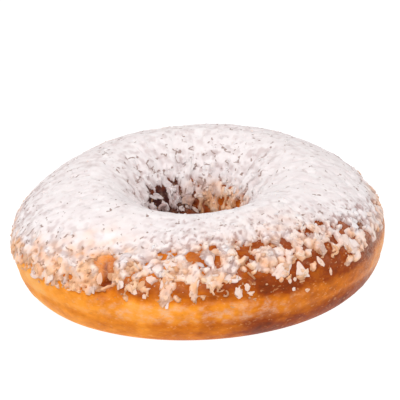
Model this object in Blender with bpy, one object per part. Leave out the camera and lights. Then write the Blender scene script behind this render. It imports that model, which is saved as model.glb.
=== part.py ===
"""A coconut ring doughnut: one uneven fried ring of dough, its top coated with coconut.

Metres, +Z up. The doughnut lies on the plane z = 0, on the flat ring that its own weight pressed into
its underside. The origin is there, under the middle of its outline. Ring, coat and flakes are one solid.
"""

import math
import random

import bmesh
import bpy
from mathutils import Matrix, Vector, noise

MM = 0.001

# The section of the ring: six places on it, as a radius from the axis and a height.
SIDE_RADIUS = 46.7 * MM
SIDE_HEIGHT = 12.2 * MM
CREST_RADIUS = 26.7 * MM
CREST_HEIGHT = 26.4 * MM
WAIST_RADIUS = 10.7 * MM
WAIST_HEIGHT = 10.2 * MM
BASE_OUTER_RADIUS = 37.9 * MM
BASE_INNER_RADIUS = 19.0 * MM

# How full each quarter of the section is: 2 is an ellipse, less is leaner and more is squarer.
UNDERSIDE_FULLNESS = 2.08
SHOULDER_FULLNESS = 1.7
FUNNEL_FULLNESS = 1.74
HOLE_FOOT_FULLNESS = 2.0

# Steps of the mesh: round the ring, and along the section.
RING_STEPS = 80
QUARTER_STEPS = {"underside": 5, "shoulder": 10, "funnel": 8, "hole foot": 3}

# What makes it uneven. A direction is an azimuth, counted from +X towards +Y.
OVAL_SHARE = 0.031
OVAL_DIRECTION = math.radians(51)
LOBE_SHARE = 0.012
LOBE_DIRECTION = math.radians(85)
HIGH_SIDE_SHARE = 0.041
HIGH_SIDE_DIRECTION = math.radians(95)
HOLE_SHIFT = Vector((-0.5 * MM, -0.3 * MM, 0.0))
LUMP_HEIGHT = 0.45 * MM
LUMP_SIZE = 15.0 * MM
FOOT_FADE = 5.0 * MM  # the lumps and grains fade out over this height, so that the base stays flat

# The crest sags a little in front of the hole.
SAG_DEPTH = 0.8 * MM
SAG_AZIMUTH = math.radians(-95)
SAG_HALF_WIDTH = 15.0 * MM
SAG_HALF_DEPTH = 12.0 * MM

# The pale line round the side, where the dough floated in the oil: a shallow band between two creases.
BAND_CREASES = (7.6 * MM, 14.0 * MM)
CREASE_DEPTH = 0.2 * MM
CREASE_WIDTH = 1.6 * MM

# The torn dimple in the front of the side, with no coconut in it.
DIMPLE_AZIMUTH = math.radians(-117)
DIMPLE_HEIGHT = 16.8 * MM
DIMPLE_REACH = 3.6 * MM
DIMPLE_DEPTH = 1.9 * MM

# The coat: where its lower edge runs on the side and in the hole, and how rough it is.
COAT_EDGE_HEIGHT = 15.0 * MM
COAT_EDGE_SAG = 3.4 * MM
COAT_SAG_DIRECTION = math.radians(-145)
COAT_EDGE_WAVE = 0.7 * MM
COAT_HOLE_HEIGHT = 15.5 * MM
COAT_THICKNESS = 0.7 * MM
COAT_FADE = 2.0 * MM
GRAIN_SIZE = 2.7 * MM
GRAIN_SHARE = 1.5

# The coconut: broad chips and narrow shreds, scattered over the coat and thickest along its edge.
SEED = 7
PIECES = 180
EDGE_SHARE = 0.42
EDGE_BAND = 4.5 * MM
SPACING = 4.1 * MM
CHIP_SHARE = 0.6
CHIP_CORNERS = 6
CHIP_LENGTH = (3.0 * MM, 5.4 * MM)
CHIP_WIDTH = (1.8 * MM, 3.0 * MM)
SHRED_LENGTH = (3.8 * MM, 6.6 * MM)
SHRED_WIDTH = (0.8 * MM, 1.2 * MM)
PIECE_THICKNESS = (0.5 * MM, 0.7 * MM)
PIECE_TILT = (math.radians(4), math.radians(11))
PIECE_LIFT = 0.18 * MM

CRUST_COLOUR = (0.62, 0.26, 0.06, 1.0)
COCONUT_COLOUR = (0.87, 0.81, 0.78, 1.0)


def smooth(low, high, value):
    """0 below low, 1 above high, and an even curve between them."""
    share = min(1.0, max(0.0, (value - low) / (high - low)))
    return share * share * (3 - 2 * share)


def quarter(centre, reach, fullness, steps, from_side):
    """A quarter of a superellipse about centre, as (radius, height) points, without its last point."""
    points = []
    for step in range(steps):
        turn = step / steps * math.pi / 2
        across, up = (math.cos(turn), math.sin(turn)) if from_side else (math.sin(turn), math.cos(turn))
        radius = centre[0] + reach[0] * across ** (2 / fullness)
        height = centre[1] + reach[1] * up ** (2 / fullness)
        points.append((radius, height))
    return points


def section():
    """The ring's closed section: up the outer side, over the crest, down the hole and back along the base."""
    underside = quarter(
        (BASE_OUTER_RADIUS, SIDE_HEIGHT),
        (SIDE_RADIUS - BASE_OUTER_RADIUS, -SIDE_HEIGHT),
        UNDERSIDE_FULLNESS,
        QUARTER_STEPS["underside"],
        from_side=False,
    )
    shoulder = quarter(
        (CREST_RADIUS, SIDE_HEIGHT),
        (SIDE_RADIUS - CREST_RADIUS, CREST_HEIGHT - SIDE_HEIGHT),
        SHOULDER_FULLNESS,
        QUARTER_STEPS["shoulder"],
        from_side=True,
    )
    funnel = quarter(
        (CREST_RADIUS, WAIST_HEIGHT),
        (WAIST_RADIUS - CREST_RADIUS, CREST_HEIGHT - WAIST_HEIGHT),
        FUNNEL_FULLNESS,
        QUARTER_STEPS["funnel"],
        from_side=False,
    )
    hole_foot = quarter(
        (BASE_INNER_RADIUS, WAIST_HEIGHT),
        (WAIST_RADIUS - BASE_INNER_RADIUS, -WAIST_HEIGHT),
        HOLE_FOOT_FULLNESS,
        QUARTER_STEPS["hole foot"],
        from_side=True,
    )
    return underside + shoulder + funnel + hole_foot + [(BASE_INNER_RADIUS, 0.0)]


def coat_edge(azimuth):
    """The height where the coat ends on the outer side."""
    sag = max(0.0, math.cos(azimuth - COAT_SAG_DIRECTION)) ** 2 * COAT_EDGE_SAG
    wave = COAT_EDGE_WAVE * (math.sin(5 * azimuth + 0.8) + 0.6 * math.sin(11 * azimuth))
    return COAT_EDGE_HEIGHT - sag + wave


def coat_share(point):
    """1 where the coat is full, 0 where the crust is bare, from the place on the plain ring."""
    outside = math.hypot(point.x, point.y) > CREST_RADIUS
    edge = coat_edge(math.atan2(point.y, point.x)) if outside else COAT_HOLE_HEIGHT
    return smooth(edge, edge + COAT_FADE, point.z)


def dimple(point):
    """How deep the torn dimple is at a place on the side."""
    azimuth = math.atan2(point.y, point.x)
    along = (azimuth - DIMPLE_AZIMUTH) * SIDE_RADIUS
    away = math.hypot(along, point.z - DIMPLE_HEIGHT)
    return DIMPLE_DEPTH * (1 - smooth(0.0, DIMPLE_REACH, away))


def crest_sag(point):
    """How deep the crest sags at a place on it."""
    across = (math.atan2(point.y, point.x) - SAG_AZIMUTH) * CREST_RADIUS
    inward = math.hypot(point.x, point.y) - CREST_RADIUS
    away = math.hypot(across / SAG_HALF_WIDTH, inward / SAG_HALF_DEPTH)
    on_top = smooth(SIDE_HEIGHT, CREST_HEIGHT, point.z)
    return SAG_DEPTH * (1 - smooth(0.0, 1.0, away)) * on_top


def relief(point):
    """How far the skin stands out of the plain ring: lumps, the sag, creases, the dimple, then the coat."""
    lumps = LUMP_HEIGHT * noise.noise(point / LUMP_SIZE) - crest_sag(point)
    grains = GRAIN_SHARE * noise.noise(point / GRAIN_SIZE)
    coat = COAT_THICKNESS * (1 + grains) * coat_share(point)
    creases = 0.0
    if math.hypot(point.x, point.y) > CREST_RADIUS:
        nearest = min(abs(point.z - height) for height in BAND_CREASES)
        creases = CREASE_DEPTH * (1 - smooth(0.0, CREASE_WIDTH, nearest))
    return (lumps + coat) * smooth(0.0, FOOT_FADE, point.z) - creases - dimple(point)


def settle(point):
    """Makes a place on the round ring uneven: oval, a little higher on one side, its hole off centre."""
    azimuth = math.atan2(point.y, point.x)
    radius = math.hypot(point.x, point.y)
    oval = 1 + OVAL_SHARE * math.cos(2 * (azimuth - OVAL_DIRECTION))
    oval += LOBE_SHARE * math.cos(3 * (azimuth - LOBE_DIRECTION))
    high = 1 + HIGH_SIDE_SHARE * math.cos(azimuth - HIGH_SIDE_DIRECTION)
    inward = 1 - smooth(WAIST_RADIUS, CREST_RADIUS, radius)
    return Vector((point.x * oval, point.y * oval, point.z * high)) + HOLE_SHIFT * inward


def ring_of_dough():
    """The bare ring with its coat's relief: a torus whose round section is given the doughnut's own."""
    outline = section()
    bpy.ops.mesh.primitive_torus_add(
        major_segments=RING_STEPS,
        minor_segments=len(outline),
        major_radius=CREST_RADIUS,
        minor_radius=CREST_HEIGHT / 2,
    )
    torus = bpy.context.object
    mesh = bmesh.new()
    mesh.from_mesh(torus.data)
    bpy.data.objects.remove(torus)
    for index, corner in enumerate(mesh.verts):
        ring_step, section_step = divmod(index, len(outline))
        azimuth = ring_step / RING_STEPS * 2 * math.pi
        radius, height = outline[section_step]
        corner.co = Vector((radius * math.cos(azimuth), radius * math.sin(azimuth), height))
    bmesh.ops.triangulate(mesh, faces=mesh.faces, quad_method="SHORT_EDGE")
    bmesh.ops.recalc_face_normals(mesh, faces=mesh.faces)
    mesh.normal_update()
    places = [corner.co + corner.normal * relief(corner.co) for corner in mesh.verts]
    for corner, place in zip(mesh.verts, places):
        lies_flat = corner.co.z < MM / 100
        corner.co = settle(corner.co if lies_flat else place)
    mesh.normal_update()
    return mesh


def chip(rng):
    """A broad flake: an irregular six-sided slab, a little cupped, lying in the XY plane."""
    mesh = bmesh.new()
    bmesh.ops.create_circle(mesh, cap_ends=True, radius=0.5, segments=CHIP_CORNERS)
    length, width = rng.uniform(*CHIP_LENGTH), rng.uniform(*CHIP_WIDTH)
    for corner in mesh.verts:
        corner.co *= rng.uniform(0.78, 1.1)
        corner.co = Vector((corner.co.x * length, corner.co.y * width, 0.0))
    give_thickness(mesh, rng.uniform(*PIECE_THICKNESS))
    return mesh


def shred(rng):
    """A narrow strip that tapers to its ends and bends, lying along X."""
    mesh = bmesh.new()
    bmesh.ops.create_grid(mesh, x_segments=2, y_segments=1, size=0.5)
    length, width = rng.uniform(*SHRED_LENGTH), rng.uniform(*SHRED_WIDTH)
    bend = rng.uniform(-0.22, 0.22) * length
    for corner in mesh.verts:
        along = corner.co.x
        taper = 1.0 - 1.1 * abs(along)
        corner.co = Vector((along * length, corner.co.y * width * taper + bend * (0.25 - along * along), 0.0))
    give_thickness(mesh, rng.uniform(*PIECE_THICKNESS))
    return mesh


def give_thickness(mesh, thickness):
    """Turns a flat face region into a slab about the XY plane."""
    top = bmesh.ops.extrude_face_region(mesh, geom=mesh.faces[:])["geom"]
    raised = [item for item in top if isinstance(item, bmesh.types.BMVert)]
    bmesh.ops.translate(mesh, verts=mesh.verts, vec=(0, 0, -thickness / 2))
    bmesh.ops.translate(mesh, verts=raised, vec=(0, 0, thickness))
    bmesh.ops.recalc_face_normals(mesh, faces=mesh.faces)


def bare_place(spot):
    """Whether a place is under the coat's edge, or inside the dimple."""
    return coat_share(spot) < 0.12 or dimple(spot) > 0.0


def near_edge(spot):
    """Whether a place on the outer side is in the band just above the coat's edge."""
    outside = math.hypot(spot.x, spot.y) > CREST_RADIUS
    return outside and spot.z - coat_edge(math.atan2(spot.y, spot.x)) < EDGE_BAND


def skin_of(ring):
    """The ring's faces as (middle, normal, area), for what is scattered on it."""
    return [(face.calc_center_median(), face.normal.copy(), face.calc_area()) for face in ring.faces]


def scatter(ring, rng):
    """Places for the pieces of coconut, evenly apart: the edge's share first, then the rest of the coat."""
    skin = [place for place in skin_of(ring) if not bare_place(place[0])]
    edge = [place for place in skin if near_edge(place[0])]
    taken = []
    for pool, wanted in ((edge, int(PIECES * EDGE_SHARE)), (skin, PIECES)):
        weights = [place[2] for place in pool]
        tries = rng.choices(pool, weights, k=PIECES * 60)
        for middle, normal, _ in tries:
            if len(taken) == wanted:
                break
            if all((middle - other).length > SPACING for other, _ in taken):
                taken.append((middle, normal))
    return taken


def lay(mesh, place, normal, rng):
    """Moves a piece from the XY plane onto the skin, turned at random and tilted so that one end digs in."""
    onto_skin = normal.to_track_quat("Z", "Y").to_matrix().to_4x4()
    turned = Matrix.Rotation(rng.uniform(0, 2 * math.pi), 4, "Z")
    tilted = Matrix.Rotation(rng.uniform(*PIECE_TILT), 4, "Y")
    lifted = Matrix.Translation(place + normal * PIECE_LIFT)
    bmesh.ops.transform(mesh, matrix=lifted @ onto_skin @ turned @ tilted, verts=mesh.verts)


def as_object(name, mesh, material, collection):
    """Writes a bmesh to a new object of that material, and frees it."""
    data = bpy.data.meshes.new(name)
    mesh.to_mesh(data)
    mesh.free()
    data.materials.append(material)
    made = bpy.data.objects.new(name, data)
    collection.objects.link(made)
    return made


def surface(name, colour, roughness):
    """A Principled material of one colour."""
    material = bpy.data.materials.new(name)
    material.use_nodes = True
    shader = material.node_tree.nodes["Principled BSDF"]
    shader.inputs["Base Color"].default_value = colour
    shader.inputs["Roughness"].default_value = roughness
    material.diffuse_color = colour
    return material


def join_all(body, pieces):
    """Fuses a collection of pieces to the body with one Boolean union, and removes them."""
    union = body.modifiers.new("Fused coconut", "BOOLEAN")
    union.operation = "UNION"
    union.operand_type = "COLLECTION"
    union.collection = pieces
    union.solver = "EXACT"
    union.material_mode = "TRANSFER"
    bpy.context.view_layer.objects.active = body
    bpy.ops.object.modifier_apply(modifier=union.name)
    for piece in list(pieces.objects):
        bpy.data.objects.remove(piece)
    bpy.data.collections.remove(pieces)


def keep_outer_skin(body):
    """Keeps the largest connected surface: small hollows that the union sealed are filled by losing theirs."""
    mesh = bmesh.new()
    mesh.from_mesh(body.data)
    unseen = set(mesh.verts)
    islands = []
    while unseen:
        island = {unseen.pop()}
        edge_of_search = list(island)
        while edge_of_search:
            corner = edge_of_search.pop()
            neighbours = {edge.other_vert(corner) for edge in corner.link_edges} & unseen
            unseen -= neighbours
            island |= neighbours
            edge_of_search.extend(neighbours)
        islands.append(island)
    islands.sort(key=len)
    for island in islands[:-1]:
        bmesh.ops.delete(mesh, geom=list(island), context="VERTS")
    mesh.to_mesh(body.data)
    mesh.free()


def centre_on_origin(body):
    """Moves the mesh so that the middle of its outline in plan is on the Z axis."""
    corners = [corner.co for corner in body.data.vertices]
    middle_x = (min(c.x for c in corners) + max(c.x for c in corners)) / 2
    middle_y = (min(c.y for c in corners) + max(c.y for c in corners)) / 2
    body.data.transform(Matrix.Translation((-middle_x, -middle_y, 0.0)))


def build():
    for leftover in list(bpy.data.objects):
        bpy.data.objects.remove(leftover)
    rng = random.Random(SEED)
    crust = surface("crust", CRUST_COLOUR, 0.45)
    coconut = surface("coconut", COCONUT_COLOUR, 0.7)

    ring = ring_of_dough()
    places = scatter(ring, rng)
    scene = bpy.context.scene.collection
    flakes = bpy.data.collections.new("coconut_pieces")
    scene.children.link(flakes)
    for index, (place, normal) in enumerate(places):
        piece = chip(rng) if rng.random() < CHIP_SHARE else shred(rng)
        lay(piece, place, normal, rng)
        as_object(f"coconut_{index:03d}", piece, coconut, flakes)

    doughnut = as_object("doughnut", ring, crust, scene)
    join_all(doughnut, flakes)
    keep_outer_skin(doughnut)
    centre_on_origin(doughnut)
    doughnut.data.shade_smooth()
    doughnut.data.set_sharp_from_angle(angle=math.radians(35))


build()
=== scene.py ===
"""A coconut doughnut, dressed: the fried dough ring, the bed of fine coconut on it, and the loose coconut.

Metres, +Z up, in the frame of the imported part. The doughnut lies on z = 0 and its front side faces -Y.
"""
import math

import bpy
import numpy as np
from mathutils import Matrix, Vector, noise


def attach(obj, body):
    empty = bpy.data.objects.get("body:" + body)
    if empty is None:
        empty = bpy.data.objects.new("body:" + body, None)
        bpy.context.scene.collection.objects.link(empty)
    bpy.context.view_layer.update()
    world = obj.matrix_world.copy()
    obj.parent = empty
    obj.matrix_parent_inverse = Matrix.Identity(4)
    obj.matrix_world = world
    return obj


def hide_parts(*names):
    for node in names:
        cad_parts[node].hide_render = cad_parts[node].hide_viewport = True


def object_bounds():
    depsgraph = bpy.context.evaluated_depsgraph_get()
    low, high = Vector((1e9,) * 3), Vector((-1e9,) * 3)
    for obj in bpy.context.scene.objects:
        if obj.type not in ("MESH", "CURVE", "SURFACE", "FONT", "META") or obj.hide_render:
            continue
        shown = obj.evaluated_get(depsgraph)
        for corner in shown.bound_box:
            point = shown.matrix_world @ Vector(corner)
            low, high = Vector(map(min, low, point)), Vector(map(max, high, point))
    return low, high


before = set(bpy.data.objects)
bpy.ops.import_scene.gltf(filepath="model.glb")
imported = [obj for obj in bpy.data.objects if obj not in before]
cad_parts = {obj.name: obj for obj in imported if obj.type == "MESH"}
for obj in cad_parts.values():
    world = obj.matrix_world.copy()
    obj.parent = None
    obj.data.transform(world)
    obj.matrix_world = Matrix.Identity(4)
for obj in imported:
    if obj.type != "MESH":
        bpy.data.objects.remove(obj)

CAD_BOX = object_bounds()
MM = 0.001

# The section of the ring: five places on it, as a radius from the axis and a height, and how full each
# quarter between them is (2 is an ellipse, less is leaner and more is squarer).
SIDE_RADIUS, SIDE_HEIGHT = 46.7 * MM, 12.2 * MM
CREST_RADIUS, CREST_HEIGHT = 26.7 * MM, 26.4 * MM
WAIST_RADIUS, WAIST_HEIGHT = 10.7 * MM, 10.2 * MM
BASE_OUTER_RADIUS, BASE_INNER_RADIUS = 37.9 * MM, 19.0 * MM
UNDERSIDE_FULLNESS = 2.08
SHOULDER_FULLNESS = 1.7
FUNNEL_FULLNESS = 1.74
HOLE_FOOT_FULLNESS = 2.0

# What makes it uneven. A direction is an azimuth, counted from +X towards +Y.
OVAL_SHARE, OVAL_DIRECTION = 0.031, math.radians(51)
LOBE_SHARE, LOBE_DIRECTION = 0.012, math.radians(85)
HIGH_SIDE_SHARE, HIGH_SIDE_DIRECTION = 0.041, math.radians(95)
HOLE_SHIFT = np.array((-0.5 * MM, -0.3 * MM, 0.0))
LUMP_HEIGHT, LUMP_SIZE = 0.45 * MM, 15.0 * MM
FOOT_FADE = 5.0 * MM

# The crest sags a little in front of the hole.
SAG_DEPTH, SAG_AZIMUTH = 0.8 * MM, math.radians(-95)
SAG_HALF_WIDTH, SAG_HALF_DEPTH = 15.0 * MM, 12.0 * MM

# The pale line round the side: its two creases, and where its colour begins, is full, wanes and ends.
BAND_CREASES = (7.6 * MM, 14.0 * MM)
CREASE_DEPTH, CREASE_WIDTH = 0.2 * MM, 1.6 * MM
BAND_COLOUR = (6.5 * MM, 9.0 * MM, 11.5 * MM, 14.0 * MM)

# The dimple in the front.
DIMPLE_AZIMUTH = math.radians(-117)
DIMPLE_HEIGHT, DIMPLE_REACH, DIMPLE_DEPTH = 16.8 * MM, 3.6 * MM, 1.9 * MM

# The tear in the dimple: two cracks, each as places beside the dimple's azimuth and heights.
TEAR_CRACKS = (
    ((-2.7 * MM, 19.6 * MM), (-1.5 * MM, 17.3 * MM), (-0.3 * MM, 16.1 * MM)),
    ((-1.2 * MM, 16.9 * MM), (-2.3 * MM, 15.1 * MM)),
)
TEAR_DEPTH, TEAR_WIDTH = 0.8 * MM, 0.75 * MM

# The smooth scoop below the tear: its place beside the dimple's azimuth, its height, half sizes and depth.
SCOOP_PLACE = (0.4 * MM, 13.9 * MM)
SCOOP_HALF_WIDTH, SCOOP_HALF_HEIGHT, SCOOP_DEPTH = 2.8 * MM, 1.6 * MM, 0.5 * MM

# The bare golden place above the tear, measured in the same way.
GOLDEN_PLACE, GOLDEN_REACH = (-3.0 * MM, 20.0 * MM), 3.6 * MM

# Where the coat ends on the outer side: it is lowest at the left.
COAT_EDGE_HEIGHT = 15.0 * MM
COAT_EDGE_SAG = 3.0 * MM
COAT_SAG_DIRECTION = math.radians(-160)
COAT_EDGE_WAVE = 0.7 * MM

# How the coat thins out above its edge, in a lacy fringe that reaches highest in front. How much of the crust
# the coat covers there, at shares of the fringe's height, and in the hole, at heights.
FRINGE_TOP_LOW, FRINGE_TOP_HIGH = 21.0 * MM, 24.5 * MM
FRINGE_DIRECTION = math.radians(-82)
FRINGE_SHARES = (-0.08, 0.08, 0.4, 0.7, 0.9, 1.05, 1.25)
FRINGE_AMOUNTS = (0.0, 0.38, 0.57, 0.73, 0.88, 1.02, 1.25)
FINE_SIDE_EXTRA = 0.41
HOLE_HEIGHTS = np.array((5, 9, 13, 16, 19, 22, 24)) * MM
HOLE_AMOUNTS = (0.0, 0.50, 0.60, 0.74, 0.90, 1.02, 1.25)
THIN_ZONE = 12.5 * MM

# The sides where the coat is fine, calm, pink and pitted, where its painted shade in the hole is darkest and
# where it is thin in the hole, and where the crust is browner, paler, lit in the hole (least painted shade),
# given a pale painted reflection, and dusty on its pale line.
FINE_SIDE, CALM_SIDE, PINK_SIDE, PITTED_SIDE, HOLE_SHADED_SIDE = np.radians((-160, 25, -60, 110, 140))
HOLE_THIN_SIDE = 0.7
BROWNER_SIDE, PALER_SIDE, HOLE_LIT_SIDE, PAINTED_REFLECTION_SIDE, BAND_DUST_SIDE = np.radians((-25, 8, 30, -4, -92))

# The bed of fine coconut: the size of its flakes, its thickness, and how deep it lies under bare crust and
# where it is hidden.
FLAKE_SIZE = 2.3 * MM
BED_THICKNESS, BED_SINK, BED_HIDDEN_DEPTH = 0.75 * MM, 0.45 * MM, 1.5 * MM

# Places with less coconut or more of it, each as azimuth in degrees, height, half width and half height in
# millimetres, how much is missing there (below nought: more coconut), and whether it is on the outer side.
BARE_PLACES = (
    # round the tear
    (-120.5, 20, 2.5, 1.5, 1.35, True),
    (-119.5, 17.5, 1.5, 2, 1.1, True),
    (-116, 14, 2.5, 1.5, 1, True),
    (-109.5, 17.5, 2.5, 2, 0.3, True),
    (-109.5, 14.5, 3, 1.5, 0.45, True),
    # bridges and gaps in the front
    (-100, 15, 1, 3, -0.6, True),
    (-92, 16, 1, 2.5, -0.6, True),
    (-92, 19, 6, 1.5, -0.25, True),
    (-96, 16.5, 1.5, 2, 0.5, True),
    (-91, 22, 2.5, 0.5, 0.3, True),
    (-84.5, 21, 1, 1.5, 1.1, True),
    (-85.5, 23, 1, 1, 1, True),
    # bare crust at the right, and a thicker coat above it, beyond it and at the edge
    (-71.5, 16.5, 4, 2, 0.6, True),
    (-67, 20, 7, 1.5, -0.22, True),
    (-47, 16, 5, 2, 0.5, True),
    (-29, 17, 4, 2.5, -0.1, True),
    (-2, 20, 10, 3.5, -0.25, True),
    # the dark places in the hole, a bridge beside them, and a thin place at the back
    (141, 15.5, 5, 3.5, 0.3, False),
    (112, 11.5, 5, 1.5, 0.4, False),
    (102, 15, 1.5, 4, -0.3, False),
    (36, 24.5, 4, 1.5, 0.28, False),
)

# Outlines of single flakes, as twelve distances from the middle to the rim, from the tip round to the left.
OUTLINES = {
    "pointed": (1.0, 0.62, 0.42, 0.40, 0.46, 0.60, 0.80, 0.62, 0.46, 0.38, 0.36, 0.52),
    "fingered": (1.0, 0.50, 0.85, 0.44, 0.62, 0.55, 0.72, 0.66, 0.60, 0.42, 0.78, 0.46),
    "triangle": (1.0, 0.66, 0.48, 0.55, 0.90, 0.56, 0.48, 0.54, 0.92, 0.58, 0.46, 0.64),
    "round": (1.0, 0.96, 0.90, 0.94, 1.0, 0.92, 0.96, 1.0, 0.92, 0.88, 0.94, 0.98),
    "strip": (1.0, 0.46, 0.26, 0.22, 0.27, 0.50, 0.92, 0.56, 0.30, 0.24, 0.22, 0.38),
    "ragged": (1.0, 0.66, 0.74, 0.56, 0.80, 0.60, 0.86, 0.58, 0.76, 0.52, 0.64, 0.60),
}

# The single flakes in the fringe that stand out, each as azimuth in degrees, height, length and width in
# millimetres, the way its tip points in degrees to the right of downhill, its outline, and how thin it is.
LAID_FLAKES = (
    # round the tear
    (-114.5, 17, 4.5, 2, 62, "strip", 0.35),
    (-120.5, 17, 3, 1.5, 15, "pointed", 0.75),
    (-109.5, 15.5, 2, 1.5, 40, "ragged", 0.6),
    (-105, 18, 2.5, 2, 90, "ragged", 0.5),
    (-106, 14.5, 1.5, 1, 20, "round", 0.6),
    # in the front
    (-100.5, 17.5, 4, 2.5, -25, "fingered", 0.4),
    (-100, 14, 4, 1.5, 5, "strip", 0.3),
    (-100, 21, 4, 3, 80, "ragged", 0.3),
    (-92, 18, 3.5, 2.5, 5, "ragged", 0.4),
    (-92, 15, 3.5, 1, -5, "strip", 0.45),
    (-86.5, 18, 4.5, 2.5, 100, "ragged", 0.3),
    (-81.5, 18, 5.5, 2, 80, "pointed", 0.25),
    (-76.5, 16, 2, 1.5, 0, "round", 0.5),
    (-75.5, 14.5, 2, 1, 90, "triangle", 0.6),
    (-79, 15, 3, 2, 10, "ragged", 0.45),
    # at the right
    (-64.5, 18, 6, 3.5, 120, "ragged", 0.4),
    (-58, 17, 4.5, 3, 20, "triangle", 0.4),
    (-63, 15.5, 1.5, 1, 0, "round", 0.6),
    (-62, 13.5, 1, 1, 0, "round", 0.4),
    (-61, 15.5, 1, 1, 60, "round", 0.6),
    (-57.5, 12.5, 1.5, 1, 80, "ragged", 0.8),
    (-47.5, 14.5, 2, 1, 5, "ragged", 0.7),
    (-50.5, 17.5, 3, 1.5, 20, "ragged", 0.5),
    (-36, 18, 6.5, 4, 15, "fingered", 0.35),
)

# The same in the hole, where the last number says how much painted shade the flake gets. In the fringe all get
# the same small share, as a slightly darker tone.
HOLE_FLAKES = (
    (102, 13, 2.5, 2, 30, "ragged", 0.3, 0.15),
    (87, 15, 3.5, 1.5, 80, "pointed", 0.3, 0.2),
    (73, 15, 3, 1, 5, "strip", 0.7, 0),
    (125, 18.5, 3, 2, 60, "ragged", 0, 0.2),
    (143, 17, 3.5, 1.5, 55, "strip", 0, 0.35),
    (152, 17.5, 3, 1, 50, "strip", 0, 0.3),
    (136, 14, 3, 1.5, 20, "ragged", 0, 0.4),
    (120, 14.5, 2.5, 1.5, 30, "pointed", 0, 0.3),
    (112, 12, 2, 1.5, 60, "ragged", 0.1, 0.3),
    (93, 11.5, 2.5, 1, 50, "strip", 0.4, 0.1),
    (59, 16.5, 2.5, 1.5, 20, "ragged", 0.8, 0),
    (49, 17.5, 2.5, 1, -20, "strip", 0.8, 0),
    (44, 15.5, 2, 1.5, 10, "ragged", 0.7, 0),
)
FRINGE_FLAKE_DUSK = 0.1

# The camera, from the photograph's outline: its distance, height angle and roll, and the place it aims at.
PHOTO_SIDE = 400
CAMERA_DISTANCE = 450 * MM
CAMERA_ELEVATION = math.radians(22.28)
CAMERA_ROLL = math.radians(1.14)
PIXELS_PER_METRE = 4001
AIM_HEIGHT = 15.0 * MM
AIM_PIXEL = (199.75, 215.05)
SENSOR_WIDTH = 36.0

# The meshes of the dough and of the bed: steps round the ring and along its section, and samples of it.
AROUND = 800
DOUGH_STEPS = 120
BED_STEPS, BED_HIDDEN_STEPS = 114, 6
SECTION_SAMPLES = 4000

# What is lower than this is on the flat base. The loose coconut stays in a box a little inside the part's.
FLAT = 0.01 * MM
BOX_MARGIN = 0.05 * MM
BOX_LOW, BOX_HIGH = np.array(CAD_BOX[0]) + BOX_MARGIN, np.array(CAD_BOX[1]) - BOX_MARGIN

# The loose coconut: shapes made of each kind, and how thick the rim of a flake is, as a share of its middle.
SHAPES_OF_A_KIND = 8
RIM_THICKNESS = 0.35
RNG = np.random.default_rng(11)


# ---- the form of the ring


def smooth(low, high, value):
    """0 below low, 1 above high, and an even curve between them."""
    share = np.clip((value - low) / (high - low), 0.0, 1.0)
    return share * share * (3 - 2 * share)


def fading(low, high, value):
    """1 below low, 0 above high, and an even curve between them."""
    return 1 - smooth(low, high, value)


def towards(direction, azimuth, low, high):
    """0 to 1 as an azimuth nears a direction: the cosine between them goes from low to high."""
    return smooth(low, high, np.cos(azimuth - direction))


def quarter(middle, level, radius, height, fullness, from_side):
    """A quarter of a superellipse about (middle, level), out to (radius, height), less its last point."""
    turn = np.linspace(0, np.pi / 2, 120, endpoint=False)
    across, up = (np.cos(turn), np.sin(turn)) if from_side else (np.sin(turn), np.cos(turn))
    radii = middle + (radius - middle) * across ** (2 / fullness)
    heights = level + (height - level) * up ** (2 / fullness)
    return np.stack((radii, heights), axis=-1)


def section():
    """The ring's closed section: up the outer side, over the crest, down the hole and back along the base."""
    return np.concatenate((
        quarter(BASE_OUTER_RADIUS, SIDE_HEIGHT, SIDE_RADIUS, 0.0, UNDERSIDE_FULLNESS, False),
        quarter(CREST_RADIUS, SIDE_HEIGHT, SIDE_RADIUS, CREST_HEIGHT, SHOULDER_FULLNESS, True),
        quarter(CREST_RADIUS, WAIST_HEIGHT, WAIST_RADIUS, CREST_HEIGHT, FUNNEL_FULLNESS, False),
        quarter(BASE_INNER_RADIUS, WAIST_HEIGHT, WAIST_RADIUS, 0.0, HOLE_FOOT_FULLNESS, True),
        np.linspace((BASE_INNER_RADIUS, 0.0), (BASE_OUTER_RADIUS, 0.0), 60),
    ))


def along_section(shares):
    """Points of the section at these shares of its length, and the outward normals there."""
    line = section()
    steps = np.linalg.norm(np.diff(line, axis=0), axis=1)
    run = np.concatenate(((0.0,), np.cumsum(steps)))
    run /= run[-1]
    reach = 0.002
    points, ahead, behind = (
        np.stack([np.interp((shares + offset) % 1.0, run, line[:, axis]) for axis in (0, 1)], axis=-1)
        for offset in (0.0, reach, -reach)
    )
    way = ahead - behind
    way /= np.linalg.norm(way, axis=1)[:, None]
    return points, np.stack((way[:, 1], -way[:, 0]), axis=-1)


def crowded(first, last, count, crowding):
    """Shares of the section's length from first to last, closer together where crowding is high."""
    shares = np.linspace(first, last, SECTION_SAMPLES)
    profile, _ = along_section(shares)
    run = np.concatenate(((0.0,), np.cumsum(crowding(profile[1:, 0], profile[1:, 1]))))
    return np.interp(np.linspace(0.0, run[-1], count), run, shares)


def turned(profile):
    """Turns (radius, height) pairs about the axis: an array of places, AROUND by the profile's length."""
    azimuth = np.arange(AROUND) / AROUND * 2 * np.pi
    radius, height = profile[:, 0], profile[:, 1]
    x = np.cos(azimuth)[:, None] * radius
    y = np.sin(azimuth)[:, None] * radius
    return np.stack((x, y, np.broadcast_to(height, x.shape)), axis=-1)


def polar(places):
    """Azimuth, radius and height of places on the plain ring, and whether they are outside its crest."""
    azimuth = np.arctan2(places[..., 1], places[..., 0])
    radius = np.hypot(places[..., 0], places[..., 1])
    return azimuth, radius, places[..., 2], radius > CREST_RADIUS


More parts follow.
